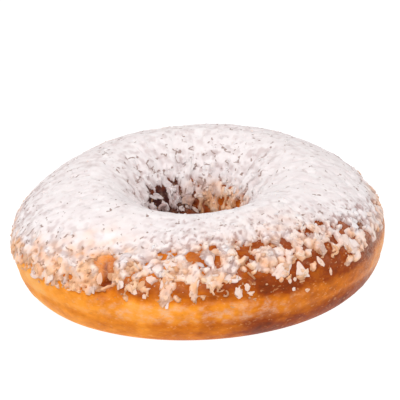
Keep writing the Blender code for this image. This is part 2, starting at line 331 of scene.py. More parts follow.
def settle(places):
    """Makes the round ring uneven: oval, a little higher on one side, its hole off centre."""
    azimuth, radius, _, _ = polar(places)
    oval = 1 + OVAL_SHARE * np.cos(2 * (azimuth - OVAL_DIRECTION))
    oval = oval + LOBE_SHARE * np.cos(3 * (azimuth - LOBE_DIRECTION))
    high = 1 + HIGH_SIDE_SHARE * np.cos(azimuth - HIGH_SIDE_DIRECTION)
    inward = fading(WAIST_RADIUS, CREST_RADIUS, radius)
    return places * np.stack((oval, oval, high), axis=-1) + HOLE_SHIFT * inward[..., None]


def ring_middle():
    """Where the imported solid's ring stands, from the corners of its flat base, less where settle puts it."""
    corners = np.array([corner.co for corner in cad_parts["doughnut"].data.vertices])
    base = corners[corners[:, 2] < FLAT]
    base = np.unique(np.round(base / FLAT), axis=0) * FLAT
    plain = turned(np.array([(BASE_OUTER_RADIUS, 0.0), (BASE_INNER_RADIUS, 0.0)]))
    shift = base.mean(axis=0) - settle(plain).reshape(-1, 3).mean(axis=0)
    return np.array((shift[0], shift[1], 0.0))


RING_MIDDLE = ring_middle()
AIM = Vector(RING_MIDDLE) + Vector((0.0, 0.0, AIM_HEIGHT))


# ---- random patterns

PUSH_OFFSETS = (Vector((9.3, -1.5, -8.0)), Vector((0.0, 0.0, 0.0)), Vector((6.3, 0.2, -2.7)))
HALF = Vector((0.5, 0.5, 0.5))


def each(places, pattern):
    """A pattern's value at each of the places."""
    return np.array([pattern(place) for place in places.reshape(-1, 3)]).reshape(places.shape[:-1])


def grain(places, size, offset=0.0):
    """Smooth random values of about -1 to 1, with bumps of that size."""
    return each(places / size + offset, noise.noise)


def pushed(place, reach, fineness):
    """A place pushed aside smoothly and at random, so that patterns made of cells look bent."""
    there = Vector(place) * fineness
    return Vector(place) + reach * Vector([noise.noise(there + offset) for offset in PUSH_OFFSETS])


def net(places, size, offset=0.0):
    """A bent net with meshes of that size: high on its bridges and low in the middles of its meshes."""
    return each(places / size + offset, lambda place: noise.voronoi(pushed(place, 0.35, 1.3))[0][0])


def flakes_on(places):
    """Flat flakes side by side, as three readings at each place.

    They are how high its flake, which slants its own way, stands there, how far off the flake's edge is, and
    a random number of the flake's own.
    """

    def one(place):
        bent = pushed(place, 0.25, 1.7)
        distances, cells = noise.voronoi(bent)
        lean = noise.cell_vector(cells[0] * 9.7) - HALF
        height = noise.cell(cells[0] * 5.3) * 1.2 - 0.6 + 1.6 * lean.dot(bent - cells[0])
        return height, distances[1] - distances[0], noise.cell(cells[0] * 7.9)

    found = np.array([one(place) for place in (places / FLAKE_SIZE + 3.0).reshape(-1, 3)])
    return np.moveaxis(found.reshape(*places.shape[:-1], 3), -1, 0)


def streaks(places, around, length, offset):
    """Random values of about -1 to 1, drawn out to that length downhill: the more around, the narrower."""
    azimuth, _, height, _ = polar(places)
    wound = np.stack((np.cos(azimuth) * around, np.sin(azimuth) * around, height / length), axis=-1)
    return grain(wound, 1.0, offset)


# ---- the crust and where the coconut lies


def beside_dimple(places):
    """How far places on the outer side are round the ring from the dimple's azimuth, and their height."""
    azimuth, _, height, outside = polar(places)
    return np.where(outside, (azimuth - DIMPLE_AZIMUTH) * SIDE_RADIUS, 1.0), height


def scoop(places):
    """How deep the scoop is."""
    across, height = beside_dimple(places)
    across, up = across - SCOOP_PLACE[0], height - SCOOP_PLACE[1]
    return SCOOP_DEPTH * fading(0.2, 1.0, np.hypot(across / SCOOP_HALF_WIDTH, up / SCOOP_HALF_HEIGHT))


def golden(places):
    """1 in the bare golden place above the tear, 0 elsewhere."""
    across, height = beside_dimple(places)
    away = np.hypot(across - GOLDEN_PLACE[0], height - GOLDEN_PLACE[1])
    return fading(0.4 * GOLDEN_REACH, GOLDEN_REACH, away)


def dimple(places):
    """How deep the dimple is."""
    across, height = beside_dimple(places)
    return DIMPLE_DEPTH * fading(0.0, DIMPLE_REACH, np.hypot(across, height - DIMPLE_HEIGHT))


def tear(places):
    """1 in the middle of the cracks in the dimple, 0 away from them."""
    across, height = beside_dimple(places)
    nearest = np.full(height.shape, 1.0)
    for crack in TEAR_CRACKS:
        for (from_x, from_z), (to_x, to_z) in zip(crack, crack[1:]):
            way = np.array((to_x - from_x, to_z - from_z))
            share = ((across - from_x) * way[0] + (height - from_z) * way[1]) / (way @ way)
            share = np.clip(share, 0.0, 1.0)
            away = np.hypot(across - from_x - share * way[0], height - from_z - share * way[1])
            nearest = np.minimum(nearest, away)
    return fading(0.0, TEAR_WIDTH, nearest)


def crest_sag(places):
    """How deep the crest sags."""
    azimuth, radius, height, _ = polar(places)
    across = (azimuth - SAG_AZIMUTH) * CREST_RADIUS
    away = np.hypot(across / SAG_HALF_WIDTH, (radius - CREST_RADIUS) / SAG_HALF_DEPTH)
    return SAG_DEPTH * fading(0.0, 1.0, away) * smooth(SIDE_HEIGHT, CREST_HEIGHT, height)


def dough_relief(places):
    """How far the crust stands out of the plain ring: lumps, blisters, creases, the dimple and its tear."""
    _, _, height, outside = polar(places)
    foot = smooth(0.0, FOOT_FADE, height)
    lumps = LUMP_HEIGHT * grain(places, LUMP_SIZE) - crest_sag(places)
    blisters = 0.22 * MM * np.maximum(grain(places, 3.2 * MM, 7.0) - 0.18, 0.0)
    skin = 0.05 * MM * (grain(places, 1.1 * MM, 3.0) - 1.4)
    nearest = np.minimum(*[np.abs(height - crease) for crease in BAND_CREASES])
    creases = np.where(outside, CREASE_DEPTH * fading(0.0, CREASE_WIDTH, nearest), 0.0)
    hollows = dimple(places) + scoop(places) + TEAR_DEPTH * tear(places)
    return (lumps + blisters + skin) * foot - creases - hollows


def fine_side(azimuth):
    """1 on the left side, where the coat is fine and dense, and 0 elsewhere."""
    return towards(FINE_SIDE, azimuth, 0.45, 0.95)


def calm_side(azimuth):
    """1 at the right, where the coat lies smooth up to the outline, and 0 elsewhere."""
    return towards(CALM_SIDE, azimuth, 0.3, 0.8)


def coat_edge(azimuth):
    """The height where the coat ends on the outer side."""
    sag = np.maximum(0.0, np.cos(azimuth - COAT_SAG_DIRECTION)) ** 2 * COAT_EDGE_SAG
    wave = COAT_EDGE_WAVE * (np.sin(5 * azimuth + 0.8) + 0.6 * np.sin(11 * azimuth))
    return COAT_EDGE_HEIGHT - sag + wave


def bare(places):
    """How much coconut is missing in the bare places."""
    azimuth, radius, height, outside = polar(places)
    total = np.zeros(azimuth.shape)
    for middle, level, half_width, half_height, missing, is_outside in BARE_PLACES:
        turn = (azimuth - math.radians(middle) + np.pi) % (2 * np.pi) - np.pi
        away = np.hypot(turn * radius / (half_width * MM), (height - level * MM) / (half_height * MM))
        total += missing * fading(0.5, 1.35, away) * (outside == is_outside)
    return total


def plenty(places):
    """How much coconut lies at each place on the whole: 1 is a full coat and 0 is bare crust."""
    azimuth, _, height, outside = polar(places)
    raggedness = towards(FRINGE_DIRECTION, azimuth, 0.2, 1.0)
    top = FRINGE_TOP_LOW + (FRINGE_TOP_HIGH - FRINGE_TOP_LOW) * raggedness
    edge = coat_edge(azimuth)
    outer = np.interp((height - edge) / (top - edge), FRINGE_SHARES, FRINGE_AMOUNTS)
    outer += FINE_SIDE_EXTRA * fine_side(azimuth) * (outer > 0)
    inner = np.interp(height, HOLE_HEIGHTS, HOLE_AMOUNTS)
    return np.maximum(np.where(outside, outer, inner) - bare(places), 0.0)


def ranked(values):
    """Each value's rank among all of them, from 0 to 1."""
    return np.searchsorted(np.sort(values, axis=None), values) / values.size


def lace(places, flakes):
    """A random net of bridges and gaps, ranked: fine at the left, and drawn out downwards in the funnel."""
    azimuth, radius, _, outside = polar(places)
    _, edge, luck = flakes
    coarse = 0.55 * net(places, 2.4 * MM, 20.0) + 0.3 * grain(places, 3.4 * MM, 20.0)
    coarse += 0.15 * grain(places, 1.1 * MM, 31.0) + 0.5 * luck + 0.6 * np.minimum(edge, 0.3)
    fine = net(places, 1.5 * MM, 24.0) + 0.4 * grain(places, 1.6 * MM, 35.0)
    drawn = net(places, 2.2 * MM, 62.0) + 0.45 * streaks(places, 5.0, 7.0 * MM, 90.0)
    fineness = fine_side(azimuth) * outside
    in_funnel = fading(15.0 * MM, 22.0 * MM, radius)
    lacy = ranked(coarse) * (1 - fineness) + ranked(fine) * fineness
    return lacy * (1 - in_funnel) + ranked(drawn) * in_funnel


def thinness(places, presence):
    """1 where the coat is so thin that the crust's warm colour comes through it, 0 where it is thick."""
    azimuth, _, height, outside = polar(places)
    fine, calm = fine_side(azimuth), calm_side(azimuth)
    reach = THIN_ZONE * (1 + 0.1 * fine - 0.5 * smooth(0.6, 1.0, -np.cos(azimuth)))
    reach *= 1 - 0.55 * calm
    outer = fading(0.12 * reach, reach, height - coat_edge(azimuth))
    outer *= 1 - 0.4 * towards(PINK_SIDE, azimuth, 0.3, 1.0) - 0.25 * fine - 0.45 * calm
    inner = 0.9 * fading(13.0 * MM, 20.0 * MM, height) * towards(HOLE_THIN_SIDE, azimuth, 0.2, 0.9)
    zone = np.where(outside, outer, inner)
    mottled = (0.5 + 0.35 * fine) * grain(places, 2.4 * MM, 44.0) * smooth(0.0, 0.3, zone)
    zone = np.clip(1.1 * zone + mottled, 0.0, 1.0)
    return np.clip(zone * (0.95 + 0.9 * fading(0.5, 0.9, presence)), 0.0, 1.0)


def pittedness(places, amount):
    """How many small pits the coat has, each darkened with painted shade: most at the left, at the back and in
    the funnel.
    """
    azimuth, radius, height, outside = polar(places)
    behind = towards(PITTED_SIDE, azimuth, -0.1, 0.8)
    in_funnel = fading(16.0 * MM, 24.0 * MM, radius)
    left = fine_side(azimuth) * fading(20.0 * MM, 25.0 * MM, height) * outside
    lace_begins = smooth(0.9, 1.05, amount) * fading(1.1, 1.25, amount)
    pits = 0.2 + 0.35 * behind + 0.5 * in_funnel * behind + 0.9 * left + 0.45 * lace_begins
    return np.clip(pits, 0.0, 1.2)


def crevices(places, amount, flakes):
    """1 in the thin crevices between flakes of coconut, 0 elsewhere. The full coat has hardly any."""
    azimuth, _, _, outside = polar(places)
    line = fading(0.06, 0.27, flakes[1])
    somewhere = smooth(-0.35, 0.15, grain(places, 2.7 * MM, 150.0))
    few = np.where(outside, 1 - 0.6 * fine_side(azimuth), 0.25)
    return line * somewhere * few * (1 - 0.93 * smooth(0.84, 1.06, amount))


def shade(places, presence, amount, crevice):
    """Painted shade on the coat: at its rims, in its crevices, pits and pinholes, and deep in the hole, most
    at the left.
    """
    azimuth, _, height, outside = polar(places)
    # Painted shade deep in the hole, darkest on its left side, which faces away from the soft box.
    at_left = towards(HOLE_SHADED_SIDE, azimuth, -0.2, 0.9)
    deep = fading(11.0 * MM, 21.0 * MM, height) * ~outside
    mottled = 0.6 * at_left * deep * (1 + 1.2 * grain(places, 1.6 * MM, 57.0)) + 0.2 * deep
    # Painted shade: dark outlines where the coat's rims meet the crust, and in its crevices, pits and
    # pinholes.
    at_rims = fading(0.5, 0.64, presence)
    pits = 0.46 * smooth(0.12, 0.42, grain(places, 1.7 * MM, 171.0)) * pittedness(places, amount)
    lace_begins = smooth(0.74, 0.9, amount) * fading(1.14, 1.25, amount) * outside
    pinholes = 0.75 * smooth(0.26, 0.44, grain(places, 1.05 * MM, 183.0)) * lace_begins
    return np.clip(mottled + 0.7 * at_rims + 0.8 * crevice + np.maximum(pits, pinholes), 0.0, 1.0)


def bed_height(places, presence, amount, flakes, crevice):
    """How high the bed of fine coconut stands over the crust. It lies under the crust where there is none."""
    azimuth, radius, _, outside = polar(places)
    in_funnel = fading(17.0 * MM, 24.0 * MM, radius)
    smoothed = fine_side(azimuth) * outside
    coarse = 1 - np.maximum(smoothed, 0.7 * calm_side(azimuth) * outside)
    thinning = fading(0.85, 1.15, amount)
    slants = (0.06 + 0.16 * coarse * thinning) * MM * flakes[0]
    lumps = 0.16 * MM * grain(places, 4.5 * MM, 12.0) + 0.03 * MM * grain(places, 0.8 * MM, 15.0)
    knobs = np.minimum(2 * np.abs(grain(places, 2.0 * MM, 140.0)), 1.0)
    lumps += (0.06 + 0.13 * coarse * thinning) * MM * knobs
    lumps -= 0.35 * MM * crevice
    pits = 0.3 * MM * smooth(0.22, 0.50, grain(places, 1.8 * MM, 77.0))
    ridges = 0.9 * MM * streaks(places, 5.5, 14.0 * MM, 60.0) * in_funnel
    full = np.maximum(BED_THICKNESS * (1 - 0.3 * smoothed) + slants + lumps - pits + ridges, 0.12 * MM)
    return full * smooth(0.5, 0.66, presence) - BED_SINK * fading(0.36, 0.5, presence)


# ---- making meshes


def deselect():
    """Deselects everything, because an operator acts on all that is selected."""
    bpy.ops.object.select_all(action="DESELECT")


def ring_mesh(name, places, **numbers):
    """A closed ring with corners at these places, each with its numbers: a grid rolled up both ways."""
    deselect()
    bpy.ops.mesh.primitive_grid_add(x_subdivisions=places.shape[1], y_subdivisions=AROUND, size=SIDE_RADIUS)
    ring = bpy.context.object
    ring.name = name
    rolled_up = np.pad(places, ((0, 1), (0, 1), (0, 0)), mode="wrap")
    ring.data.vertices.foreach_set("co", rolled_up.astype(np.float32).ravel())
    for title, values in numbers.items():
        write_attribute(ring, title, np.pad(values, ((0, 1), (0, 1)), mode="wrap"))
    bpy.ops.object.mode_set(mode="EDIT")
    bpy.ops.mesh.select_all(action="SELECT")
    bpy.ops.mesh.remove_doubles(threshold=0.0001 * MM)
    bpy.ops.mesh.normals_make_consistent(inside=False)
    bpy.ops.object.mode_set(mode="OBJECT")
    bpy.ops.object.shade_smooth()
    return ring


def write_attribute(piece, name, values):
    """Gives each corner of a piece a number that its material reads."""
    attribute = piece.data.attributes.new(name, "FLOAT", "POINT")
    attribute.data.foreach_set("value", np.asarray(values, np.float32).ravel())


def finish_piece(piece, material):
    """The piece gets its material, belongs to the doughnut's one body, and stands for its solid."""
    piece.data.materials.append(material)
    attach(piece, "root")
    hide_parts("doughnut")


# ---- materials


def fill(node, inputs):
    """Fills in a node's inputs: a socket is linked, a value is written there, and a colour gets its alpha."""
    for key, value in inputs.items():
        socket = node.inputs[key]
        if isinstance(value, bpy.types.NodeSocket):
            node.id_data.links.new(value, socket)
        else:
            socket.default_value = (*value, 1.0) if socket.type == "RGBA" else value


def new_material(name):
    """A Principled material: it, its shader, a function that adds a node, and the place on the object."""
    material = bpy.data.materials.new(name)
    material.use_nodes = True
    nodes = material.node_tree.nodes

    def add(kind, inputs=(), **settings):
        node = nodes.new("ShaderNode" + kind)
        for key, value in settings.items():
            setattr(node, key, value)
        fill(node, dict(inputs))
        return node

    return material, nodes["Principled BSDF"], add, add("TexCoord").outputs["Object"]


def written(add, name):
    """The number that write_attribute gave the mesh under this name."""
    return add("Attribute", attribute_name=name).outputs["Fac"]


def noise_of(add, where, scale, detail=3.0, roughness=0.55):
    """A noise pattern with that many bumps to a metre."""
    inputs = {"Vector": where, "Scale": scale, "Detail": detail, "Roughness": roughness}
    return add("TexNoise", inputs).outputs["Fac"]


def reading(add, value, low, high, to_low=0.0, to_high=1.0):
    """A value's reading between low and high, from to_low to to_high."""
    inputs = {"Value": value, "From Min": low, "From Max": high, "To Min": to_low, "To Max": to_high}
    return add("MapRange", inputs).outputs["Result"]


def mixed(add, share, first, second):
    """Two colours mixed by a share."""
    return add("Mix", {0: share, 6: first, 7: second}, data_type="RGBA").outputs[2]


def summed(add, *values):
    """The sum of several values."""
    total = values[0]
    for value in values[1:]:
        total = add("Math", {0: total, 1: value}, operation="ADD").outputs[0]
    return total


def bumpy(add, strength, depth, heights):
    """The normals of a skin with these heights."""
    inputs = {"Strength": strength, "Distance": depth, "Height": heights}
    return add("Bump", inputs).outputs["Normal"]


CRUST_COLOURS = (
    (0.00, (0.94, 0.45, 0.12)),
    (0.22, (0.94, 0.33, 0.026)),
    (0.45, (0.66, 0.17, 0.004)),
    (0.72, (0.30, 0.048, 0.002)),
    (1.00, (0.05, 0.008, 0.006)),
)


def crust_material():
    """Fried crust: golden to chestnut by how toasted it is and by painted shade, mottled, with a satin skin
    and tiny pores.
    """
    material, shader, add, where = new_material("crust")
    where = add("VectorMath", {0: where, 1: (1.0, 1.0, 1.7)}, operation="MULTIPLY").outputs[0]
    broad = reading(add, noise_of(add, where, 130.0, 4.0), 0.3, 0.7, -0.11, 0.11)
    fine = reading(add, noise_of(add, where, 700.0, 4.0, 0.6), 0.3, 0.7, -0.06, 0.06)
    ramp = add("ValToRGB", {"Fac": summed(add, written(add, "toast"), broad, fine)})
    while len(ramp.color_ramp.elements) < len(CRUST_COLOURS):
        ramp.color_ramp.elements.new(0.5)
    for element, (place, colour) in zip(ramp.color_ramp.elements, CRUST_COLOURS):
        element.position = place
        element.color = (*colour, 1.0)
    specks = reading(add, noise_of(add, where, 800.0, 2.0), 0.62, 0.68, 0.0, 0.3)
    speckled = mixed(add, specks, ramp.outputs["Color"], (0.88, 0.46, 0.20))
    powder = reading(add, noise_of(add, where, 1300.0, 4.0, 0.7), 0.36, 0.64, 0.2, 1.8)
    # The pale mix is coconut dusting, and near the right outline a painted reflection.
    dust = {0: written(add, "dust"), 1: powder}
    dust = add("Math", dust, operation="MULTIPLY", use_clamp=True).outputs[0]
    pores = add("TexVoronoi", {"Vector": where, "Scale": 900.0}).outputs["Distance"]
    grainy = noise_of(add, where, 1500.0, 4.0, 0.6)
    heights = summed(add, reading(add, pores, 0.0, 0.35, 0.0, 0.6), grainy)
    fill(shader, {
        "Base Color": mixed(add, dust, speckled, (0.82, 0.60, 0.47)),
        "Roughness": reading(add, noise_of(add, where, 420.0), 0.3, 0.7, 0.42, 0.60),
        "Normal": bumpy(add, 0.25, 0.12 * MM, heights),
        "Specular IOR Level": 0.12,
        "Subsurface Weight": 0.12,
        "Subsurface Radius": (1.0, 0.4, 0.15),
        "Subsurface Scale": 1.5 * MM,
    })
    return material


def crannies_of(add, where, pitted):
    """Thin crannies between flakes, darkened with painted shade, most where the coat is pitted: 1 in them and
    0 elsewhere.
    """
    warp = add("TexNoise", {"Vector": where, "Scale": 500.0}).outputs["Color"]
    warp = add("VectorMath", {0: warp, "Scale": 1.5 * MM}, operation="SCALE").outputs[0]
    warped = add("VectorMath", {0: where, 1: warp}, operation="ADD").outputs[0]
    cracks = add("TexVoronoi", {"Vector": warped, "Scale": 420.0}, feature="DISTANCE_TO_EDGE")
    line = reading(add, cracks.outputs["Distance"], 0.03, 0.10, 1.0, 0.0)
    somewhere = reading(add, summed(add, noise_of(add, where, 600.0, 1.0), pitted), 0.68, 0.74)
    return add("Math", {0: line, 1: somewhere}, operation="MULTIPLY").outputs[0]


def coconut_material(name, fibre_scale):
    """Dried coconut: near white, warm where it is thin, with painted shade in its hollows and where the mesh
    says, with a dull waxy skin.
    """
    material, shader, add, where = new_material(name)
    thin = written(add, "thin")
    mottle = reading(add, noise_of(add, where, 260.0, 3.0), 0.3, 0.7)
    white = mixed(add, mottle, (0.87, 0.785, 0.785), (0.93, 0.865, 0.86))
    warm = mixed(add, mottle, (0.91, 0.45, 0.235), (0.96, 0.595, 0.365))
    colour = mixed(add, thin, white, warm)
    # Painted shade: the mesh's shade numbers, the pits and the crannies mix the colour towards dark greys and
    # browns.
    dusk = reading(add, written(add, "shade"), 0.0, 1.0, 0.0, 0.8)
    pitted = reading(add, written(add, "pitted"), 0.0, 1.0, 0.0, 0.12)
    pits = reading(add, summed(add, noise_of(add, where, 430.0, 1.0), pitted), 0.60, 0.78, 0.0, 0.45)
    crannies = crannies_of(add, where, pitted)
    for share, on_thick, on_thin in (
        (dusk, (0.39, 0.22, 0.20), (0.40, 0.17, 0.07)),
        (pits, (0.54, 0.43, 0.42), (0.58, 0.34, 0.22)),
        (crannies, (0.36, 0.25, 0.22), (0.50, 0.24, 0.11)),
    ):
        colour = mixed(add, share, colour, mixed(add, thin, on_thick, on_thin))
    hollows = [reading(add, hollow, 0.0, 1.0, 0.0, -2.0) for hollow in (crannies, pits)]
    heights = summed(add, noise_of(add, where, fibre_scale, 4.0, 0.6), *hollows)
    fill(shader, {
        "Base Color": colour,
        "Roughness": 0.65,
        "Normal": bumpy(add, 0.3, 0.1 * MM, heights),
        "Specular IOR Level": 0.3,
        "Subsurface Weight": 0.35,
        "Subsurface Radius": (1.0, 0.96, 0.93),
        "Subsurface Scale": 0.7 * MM,
    })
    return material


# ---- the dough and the bed


def on_pale_line(height):
    """1 at the height of the pale line round the side, 0 above and below it."""
    begins, full, wanes, ends = BAND_COLOUR
    return smooth(begins, full, height) * fading(wanes, ends, height)


def toast_of(places):
    """How dark the crust is, from 0 for the pale line to 1 for the darkest places: browning, with painted
    shade under the coat and in the hole.
    """
    azimuth, _, height, outside = polar(places)
    browner = 0.5 + 0.5 * np.cos(azimuth - BROWNER_SIDE)
    under_coat = smooth(12.0 * MM, 15.0 * MM, height)
    foot = fading(3.0 * MM, 8.0 * MM, height)
    outer = 0.19 + 0.30 * browner + 0.24 * browner**3 - (0.12 + 0.06 * browner) * on_pale_line(height)
    # Painted shade: the crust is darker where the coat covers it, in the gaps between its flakes, most on the
    # browner side.
    outer += 0.24 * browner**2 * under_coat
    outer += (0.28 * browner**1.5 - 0.15) * foot + 0.3 * tear(places)
    in_scoop = scoop(places) / SCOOP_DEPTH
    # Painted shade in the gaps of the fine coat at the left, above the coat's edge, but not in the scoop.
    outer += 0.22 * (1 - in_scoop) * fine_side(azimuth) * smooth(0.0, 2.0 * MM, height - coat_edge(azimuth))
    outer -= 0.18 * golden(places) + 0.06 * in_scoop
    outer -= 0.28 * towards(PALER_SIDE, azimuth, 0.8, 1.0)
    # Painted shade in the hole: its crust is dark, darkest on the hole's left side, which faces away from the
    # soft box.
    inner = 0.95 - 0.30 * np.cos(azimuth - HOLE_LIT_SIDE)
    flattened = places * np.array((1.0, 1.0, 1.8))
    mottles = 0.11 * grain(flattened, 9.0 * MM, 5.0) + 0.11 * grain(flattened, 3.6 * MM, 65.0)
    return np.where(outside, np.minimum(outer + mottles, 0.74), inner + mottles)


def dust_of(places):
    """How pale the crust is made: coconut dusting between flakes, on its pale line and in the hole, and a
    painted reflection at the right.
    """
    azimuth, _, height, outside = polar(places)
    cloudy = smooth(-0.3, 0.5, grain(places, 1.6 * MM, 83.0))
    # Painted reflection: the crust is paler near the right outline, as if mirroring the white room; a powdery
    # pattern breaks it up.
    at_right = towards(PAINTED_REFLECTION_SIDE, azimuth, 0.80, 1.0) * smooth(2.0 * MM, 8.0 * MM, height)
    at_right *= 0.24 + 0.12 * cloudy
    under_coat = smooth(0.0, 3.0 * MM, height - coat_edge(azimuth))
    between = (0.06 + 0.1 * fine_side(azimuth)) * cloudy * under_coat + 0.12 * golden(places)
    between += 0.28 * on_pale_line(height) * towards(BAND_DUST_SIDE, azimuth, 0.75, 1.0) * cloudy
    between *= 1 - scoop(places) / SCOOP_DEPTH
    return np.clip(np.where(outside, np.maximum(at_right, between), 0.12 * cloudy), 0.0, 1.0)


def make_dough(material):
    """The dough: the ring with its relief, and flat where it lies on the floor."""

    def crowding(radius, height):
        return 0.5 + 1.0 * (height > FLAT) * (height < 20.0 * MM) + 0.8 * (radius > 40.0 * MM)

    profile, outward = along_section(crowded(0.0, 1.0, DOUGH_STEPS + 1, crowding)[:-1])
    plain, normals = turned(profile), turned(outward)
    places = np.where(plain[..., 2:] < FLAT, plain, plain + normals * dough_relief(plain)[..., None])
    dough = ring_mesh("dough", settle(places) + RING_MIDDLE, toast=toast_of(plain), dust=dust_of(plain))
    finish_piece(dough, material)


def bed_shares():
    """Shares of the section's length: many where the bed shows, few where it lies under the crust."""
    shares = np.linspace(0.0, 1.0, SECTION_SAMPLES, endpoint=False)
    profile, _ = along_section(shares)
    outside = profile[:, 0] > CREST_RADIUS
    first = shares[outside & (profile[:, 1] > 9.0 * MM)].min()
    last = shares[~outside & (profile[:, 1] > 6.0 * MM)].max()
    shown = crowded(first, last, BED_STEPS, lambda radius, height: 1.0 + 0.7 * (radius > 36.0 * MM))
    hidden = np.linspace(last, first + 1.0, BED_HIDDEN_STEPS + 2)[1:-1] % 1.0
    return np.concatenate((shown, hidden))


class Bed:
    """The bed of fine coconut, and the ground that the loose coconut lies on."""

    def __init__(self):
        profile, outward = along_section(bed_shares())
        plain, normals = turned(profile), turned(outward)
        amount, flakes = plenty(plain), flakes_on(plain)
        presence = amount + lace(plain, flakes) - 0.5
        crevice = crevices(plain, amount, flakes)
        relief, rise = dough_relief(plain), bed_height(plain, presence, amount, flakes, crevice)
        rise[:, BED_STEPS:] = -BED_HIDDEN_DEPTH

        def raised(height):
            return settle(plain + normals * height[..., None])

        self.plain, self.amount, self.presence = plain, amount, presence
        self.thin, self.shade = thinness(plain, presence), shade(plain, presence, amount, crevice)
        self.places = raised(relief + rise) + RING_MIDDLE
        self.ground = (raised(relief + np.maximum(rise, 0.0)) + RING_MIDDLE)[:, :BED_STEPS]
        crust = raised(relief)[:, :BED_STEPS]
        self.seat = crust + RING_MIDDLE
        down = np.gradient(crust, axis=1)
        along = (np.roll(crust, -1, axis=0) - np.roll(crust, 1, axis=0)) / 2
        upward = np.cross(along, down)
        self.areas = np.linalg.norm(upward, axis=-1)
        self.upward = upward / self.areas[..., None]
        self.down = down / np.linalg.norm(down, axis=-1)[..., None]

    def make(self, material):
        pitted = pittedness(self.plain, self.amount)
        bed = ring_mesh("coconut_bed", self.places, thin=self.thin, pitted=pitted, shade=self.shade)
        finish_piece(bed, material)

    def spots(self, density, count):
        """Random spots on the ground, as many to an area as density says: where they are in its grid."""
        weights = self.areas * density[:, :BED_STEPS]
        weights[:, -1] = 0.0
        chosen = RNG.choice(weights.size, size=count, p=(weights / weights.sum()).ravel())
        return np.unravel_index(chosen, weights.shape)

    def place(self, row, column):
        """A random place in each of these cells of the ground's grid."""
        across, along = RNG.random((2, len(row), 1))
        next_row, next_column = (row + 1) % AROUND, column + 1
        return (
            self.ground[row, column] * (1 - across) * (1 - along)
            + self.ground[next_row, column] * across * (1 - along)
            + self.ground[row, next_column] * (1 - across) * along
            + self.ground[next_row, next_column] * across * along
        )


# ---- loose coconut


def shape_arrays():
    """The corners and triangles of the shape in hand, which is then removed."""
    mesh = bpy.context.object.data
    mesh.calc_loop_triangles()
    corners = np.array([corner.co for corner in mesh.vertices])
    triangles = np.array([triangle.vertices[:] for triangle in mesh.loop_triangles])
    bpy.data.objects.remove(bpy.context.object)
    bpy.data.meshes.remove(mesh)
    return corners, triangles


def modify(kind, **settings):
    """Applies a modifier to the shape in hand."""
    modifier = bpy.context.object.modifiers.new(kind, kind)
    for key, value in settings.items():
        setattr(modifier, key, value)
    bpy.ops.object.modifier_apply(modifier=modifier.name)


def flake_shape(outline, thickness, rim, cup, rounding=0):
    """A flake with this outline, given as distances from its middle: a cupped slab with a soft inset rim."""
    deselect()
    bpy.ops.mesh.primitive_circle_add(vertices=len(outline), radius=1.0, fill_type="NGON")
    for corner, distance in zip(bpy.context.object.data.vertices, outline):
        corner.co = corner.co.normalized() * distance
    bpy.ops.object.mode_set(mode="EDIT")
    bpy.ops.mesh.inset(thickness=rim)
    bpy.ops.mesh.poke()
    bpy.ops.object.mode_set(mode="OBJECT")
    modify("SOLIDIFY", thickness=thickness, offset=0.0)
    if rounding:
        modify("SUBSURF", levels=rounding)
    corners, triangles = shape_arrays()
    away = np.linalg.norm(corners[:, :2], axis=1)
    corners[:, 2] *= 1 - (1 - RIM_THICKNESS) * smooth(0.6 * away.max(), away.max(), away)
    corners[:, 2] -= cup * (corners[:, 0] ** 2 + 0.4 * corners[:, 0] * corners[:, 1])
    return corners, triangles


def strip(steps, thickness):
    """A flat strip along X, one unit long and wide."""
    deselect()
    bpy.ops.mesh.primitive_grid_add(x_subdivisions=steps, y_subdivisions=1, size=1.0)
    modify("SOLIDIFY", thickness=thickness, offset=0.0)
    return shape_arrays()


def ball(subdivisions):
    """A ball of triangles, one unit across."""
    deselect()
    bpy.ops.mesh.primitive_ico_sphere_add(subdivisions=subdivisions, radius=0.5)
    return shape_arrays()


def chip_shape():
    """A broad chip with ten ragged sides, about one unit long."""
    turn = np.arange(10) / 10 * 2 * np.pi
    phases = RNG.uniform(0, 2 * np.pi, 3)
    ragged = 1 + 0.20 * np.cos(2 * turn + phases[0]) + 0.22 * np.cos(3 * turn + phases[1])
    ragged += 0.14 * np.cos(4 * turn + phases[2])
    corners, triangles = flake_shape(0.5 * ragged, thickness=0.12, rim=0.09, cup=RNG.uniform(-0.3, 0.6))
    corners[:, 1] *= RNG.uniform(0.5, 0.9)
    return corners, triangles


def shred_shape():
    """A narrow shred along X, one unit long: a strip that tapers, bends and twists."""
    corners, triangles = strip(5, 0.10)
    along, across, up = corners.T
    across = across * (RNG.uniform(0.16, 0.3) * (1 - 1.2 * np.abs(along) ** 1.6))
    twist = RNG.uniform(-0.8, 0.8) * along
    side = across * np.cos(twist) - up * np.sin(twist)
    up = across * np.sin(twist) + up * np.cos(twist)
    bend, arch = RNG.uniform(-0.5, 0.5), RNG.uniform(-0.15, 0.3)
    return np.stack((along, side + bend * along**2, up - arch * along**2), axis=-1), triangles


def curl_shape():
    """A shred curled into a hook, one unit across."""
    corners, triangles = strip(7, 0.14)
    along, across, up = corners.T
    turn = along * RNG.uniform(2.6, 4.6)
    width = RNG.uniform(0.26, 0.36) * (1 - np.abs(along) ** 2)
    radius = 0.36 + across * width + 0.06 * along
    lift = up + RNG.uniform(-0.2, 0.2) * along
    return np.stack((radius * np.cos(turn), radius * np.sin(turn), lift), axis=-1), triangles


def crumb_shape():
    """A small crumb, one unit across: a ball of few faces, pulled about."""
    corners, triangles = ball(1)
    corners *= RNG.uniform(0.65, 1.15, (len(corners), 1))
    corners *= RNG.uniform(0.6, 1.0, (1, 3))
    return corners, triangles


